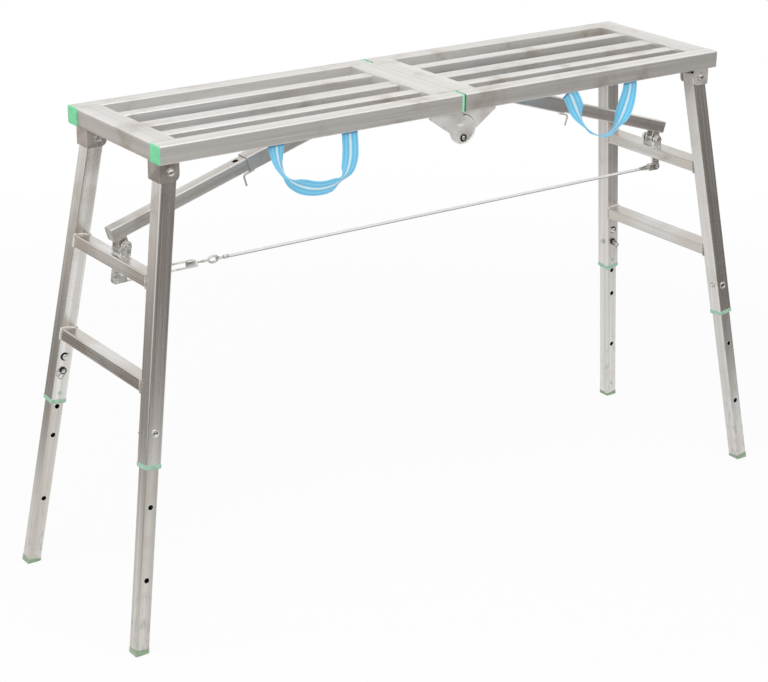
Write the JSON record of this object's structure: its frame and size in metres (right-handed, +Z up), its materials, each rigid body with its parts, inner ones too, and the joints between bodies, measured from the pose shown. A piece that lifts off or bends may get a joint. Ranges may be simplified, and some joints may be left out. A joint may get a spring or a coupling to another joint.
{
  "type": "folding work platform",
  "caption": "Folding metal work platform: slotted hinged deck on splayed ladder-like leg frames with telescopic feet, telescopic braces, a rope tie and webbing carrying straps.",
  "frame": {"origin": "on the floor under the middle of the deck", "axes": "+X along the deck, +Y to the back, away from the straps, +Z up"},
  "size_m": [1.8282, 0.552, 1.093],
  "materials": {
    "steel_tube": "satin",
    "steel_plate": "satin",
    "zinc": "bright",
    "plug_green": "matte",
    "foot_green": "matte",
    "collar_green": "matte",
    "rope": "stranded",
    "webbing": "woven"
  },
  "bodies": {
    "deck_left": {"left_front_rail": "steel_tube", "left_rear_rail": "steel_tube", "left_outer_cross": "steel_tube", "left_inner_cross": "steel_tube", "left_slats": "steel_tube", "left_plugs": "plug_green", "left_leg_brackets": "steel_plate", "left_pivot_bolts": "zinc", "left_hinge_plates": "steel_plate", "left_brace_seat": "steel_plate", "hinge_bolts": "zinc", "tie_rope_middle": "rope"},
    "frame_left": {"left_front_leg": "steel_tube", "left_rear_leg": "steel_tube", "left_upper_rung": "steel_tube", "left_lower_rung": "steel_tube", "left_collars": "collar_green", "left_brace_clevis": "steel_plate", "left_tie_lug": "steel_plate"},
    "brace_left": {"left_brace_tube": "steel_tube"},
    "sleeve_left": {"left_brace_sleeve": "steel_tube"},
    "strap_left": {"left_strap": "webbing"},
    "tie_end_left": {"tie_turnbuckle": "zinc"},
    "tie_link_left": {"tie_rope_left": "rope"},
    "leg_left_front": {"left_front_inner_leg": "steel_tube", "left_front_foot": "foot_green"},
    "pin_left_front": {"left_front_lock_pin": "zinc"},
    "leg_left_rear": {"left_rear_inner_leg": "steel_tube", "left_rear_foot": "foot_green"},
    "pin_left_rear": {"left_rear_lock_pin": "zinc"},
    "deck_right": {"right_front_rail": "steel_tube", "right_rear_rail": "steel_tube", "right_outer_cross": "steel_tube", "right_inner_cross": "steel_tube", "right_slats": "steel_tube", "right_plugs": "plug_green", "right_leg_brackets": "steel_plate", "right_pivot_bolts": "zinc", "right_hinge_plates": "steel_plate", "right_brace_seat": "steel_plate"},
    "frame_right": {"right_front_leg": "steel_tube", "right_rear_leg": "steel_tube", "right_upper_rung": "steel_tube", "right_lower_rung": "steel_tube", "right_collars": "collar_green", "right_brace_clevis": "steel_plate", "right_tie_lug": "steel_plate"},
    "brace_right": {"right_brace_tube": "steel_tube"},
    "sleeve_right": {"right_brace_sleeve": "steel_tube"},
    "strap_right": {"right_strap": "webbing"},
    "tie_end_right": {"tie_terminal": "zinc"},
    "tie_link_right": {"tie_rope_right": "rope"},
    "leg_right_front": {"right_front_inner_leg": "steel_tube", "right_front_foot": "foot_green"},
    "pin_right_front": {"right_front_lock_pin": "zinc"},
    "leg_right_rear": {"right_rear_inner_leg": "steel_tube", "right_rear_foot": "foot_green"},
    "pin_right_rear": {"right_rear_lock_pin": "zinc"}
  },
  "joints": [
    {"name": "deck_fold", "type": "hinge", "parent": "deck_left", "child": "deck_right", "pos_m": [0, 0, 0.993], "axis": [0, 1, 0], "range_deg": [0, 75], "deforming": ["tie_rope_middle"]},
    {"name": "leg_left_fold", "type": "hinge", "parent": "deck_left", "child": "frame_left", "pos_m": [-0.741, 0, 1.03], "axis": [0, -1, 0], "range_deg": [0, 88], "deforming": ["tie_rope_left"]},
    {"name": "brace_left_turn", "type": "hinge", "parent": "frame_left", "child": "brace_left", "pos_m": [-0.76298, 0, 0.83004], "axis": [0, -1, 0], "range_deg": [-106.16, 0]},
    {"name": "brace_left_slide", "type": "slide", "parent": "brace_left", "child": "sleeve_left", "axis": [0.9558, 0, 0.294], "range_m": [-0.25737, 0]},
    {"name": "tie_left_turn", "type": "hinge", "parent": "frame_left", "child": "tie_end_left", "pos_m": [-0.78221, 0, 0.75204], "axis": [0, -1, 0], "range_deg": [-88.35, 0]},
    {"name": "tie_left_link_turn", "type": "hinge", "parent": "tie_end_left", "child": "tie_link_left", "pos_m": [-0.52571, 0, 0.75204], "axis": [0, -1, 0], "range_deg": [-109.3, 0]},
    {"name": "strap_left_swing", "type": "hinge", "parent": "deck_left", "child": "strap_left", "pos_m": [0, -0.19, 1.0505], "axis": [-1, 0, 0], "range_deg": [0, 90.36]},
    {"name": "left_front_leg_slide", "type": "slide", "parent": "frame_left", "child": "leg_left_front", "axis": [0.1495, 0.0976, 0.9839], "range_m": [0, 0.4]},
    {"name": "left_front_lock_pull", "type": "slide", "parent": "frame_left", "child": "pin_left_front", "axis": [0, 1, 0], "range_m": [0, 0.015], "stiffness_N_per_m": 150},
    {"name": "left_rear_leg_slide", "type": "slide", "parent": "frame_left", "child": "leg_left_rear", "axis": [0.1495, -0.0976, 0.9839], "range_m": [0, 0.4]},
    {"name": "left_rear_lock_pull", "type": "slide", "parent": "frame_left", "child": "pin_left_rear", "axis": [0, -1, 0], "range_m": [0, 0.015], "stiffness_N_per_m": 150},
    {"name": "leg_right_fold", "type": "hinge", "parent": "deck_right", "child": "frame_right", "pos_m": [0.741, 0, 1.03], "axis": [0, 1, 0], "range_deg": [0, 88], "deforming": ["tie_rope_right"]},
    {"name": "brace_right_turn", "type": "hinge", "parent": "frame_right", "child": "brace_right", "pos_m": [0.76298, 0, 0.83004], "axis": [0, 1, 0], "range_deg": [-106.16, 0]},
    {"name": "brace_right_slide", "type": "slide", "parent": "brace_right", "child": "sleeve_right", "axis": [-0.9558, 0, 0.294], "range_m": [-0.25737, 0]},
    {"name": "tie_right_turn", "type": "hinge", "parent": "frame_right", "child": "tie_end_right", "pos_m": [0.78221, 0, 0.75204], "axis": [0, 1, 0], "range_deg": [-88.35, 0]},
    {"name": "tie_right_link_turn", "type": "hinge", "parent": "tie_end_right", "child": "tie_link_right", "pos_m": [0.52571, 0, 0.75204], "axis": [0, 1, 0], "range_deg": [-109.3, 0]},
    {"name": "strap_right_swing", "type": "hinge", "parent": "deck_right", "child": "strap_right", "pos_m": [0, -0.19, 1.0505], "axis": [-1, 0, 0], "range_deg": [0, 90.36]},
    {"name": "right_front_leg_slide", "type": "slide", "parent": "frame_right", "child": "leg_right_front", "axis": [-0.1495, 0.0976, 0.9839], "range_m": [0, 0.4]},
    {"name": "right_front_lock_pull", "type": "slide", "parent": "frame_right", "child": "pin_right_front", "axis": [0, 1, 0], "range_m": [0, 0.015], "stiffness_N_per_m": 150},
    {"name": "right_rear_leg_slide", "type": "slide", "parent": "frame_right", "child": "leg_right_rear", "axis": [-0.1495, -0.0976, 0.9839], "range_m": [0, 0.4]},
    {"name": "right_rear_lock_pull", "type": "slide", "parent": "frame_right", "child": "pin_right_rear", "axis": [0, -1, 0], "range_m": [0, 0.015], "stiffness_N_per_m": 150}
  ],
  "couplings": [
    {"joint": "brace_left_turn", "follows": "leg_left_fold", "ratio": -1.2016},
    {"joint": "brace_left_slide", "follows": "leg_left_fold", "m_per_rad": -0.1669},
    {"joint": "tie_left_turn", "follows": "leg_left_fold", "ratio": -1},
    {"joint": "tie_left_link_turn", "follows": "leg_left_fold", "ratio": -1.2371},
    {"joint": "strap_left_swing", "follows": "leg_left_fold", "ratio": 1.0227},
    {"joint": "brace_right_turn", "follows": "leg_right_fold", "ratio": -1.2016},
    {"joint": "brace_right_slide", "follows": "leg_right_fold", "m_per_rad": -0.1669},
    {"joint": "tie_right_turn", "follows": "leg_right_fold", "ratio": -1},
    {"joint": "tie_right_link_turn", "follows": "leg_right_fold", "ratio": -1.2371},
    {"joint": "strap_right_swing", "follows": "leg_right_fold", "ratio": 1.0227}
  ]
}
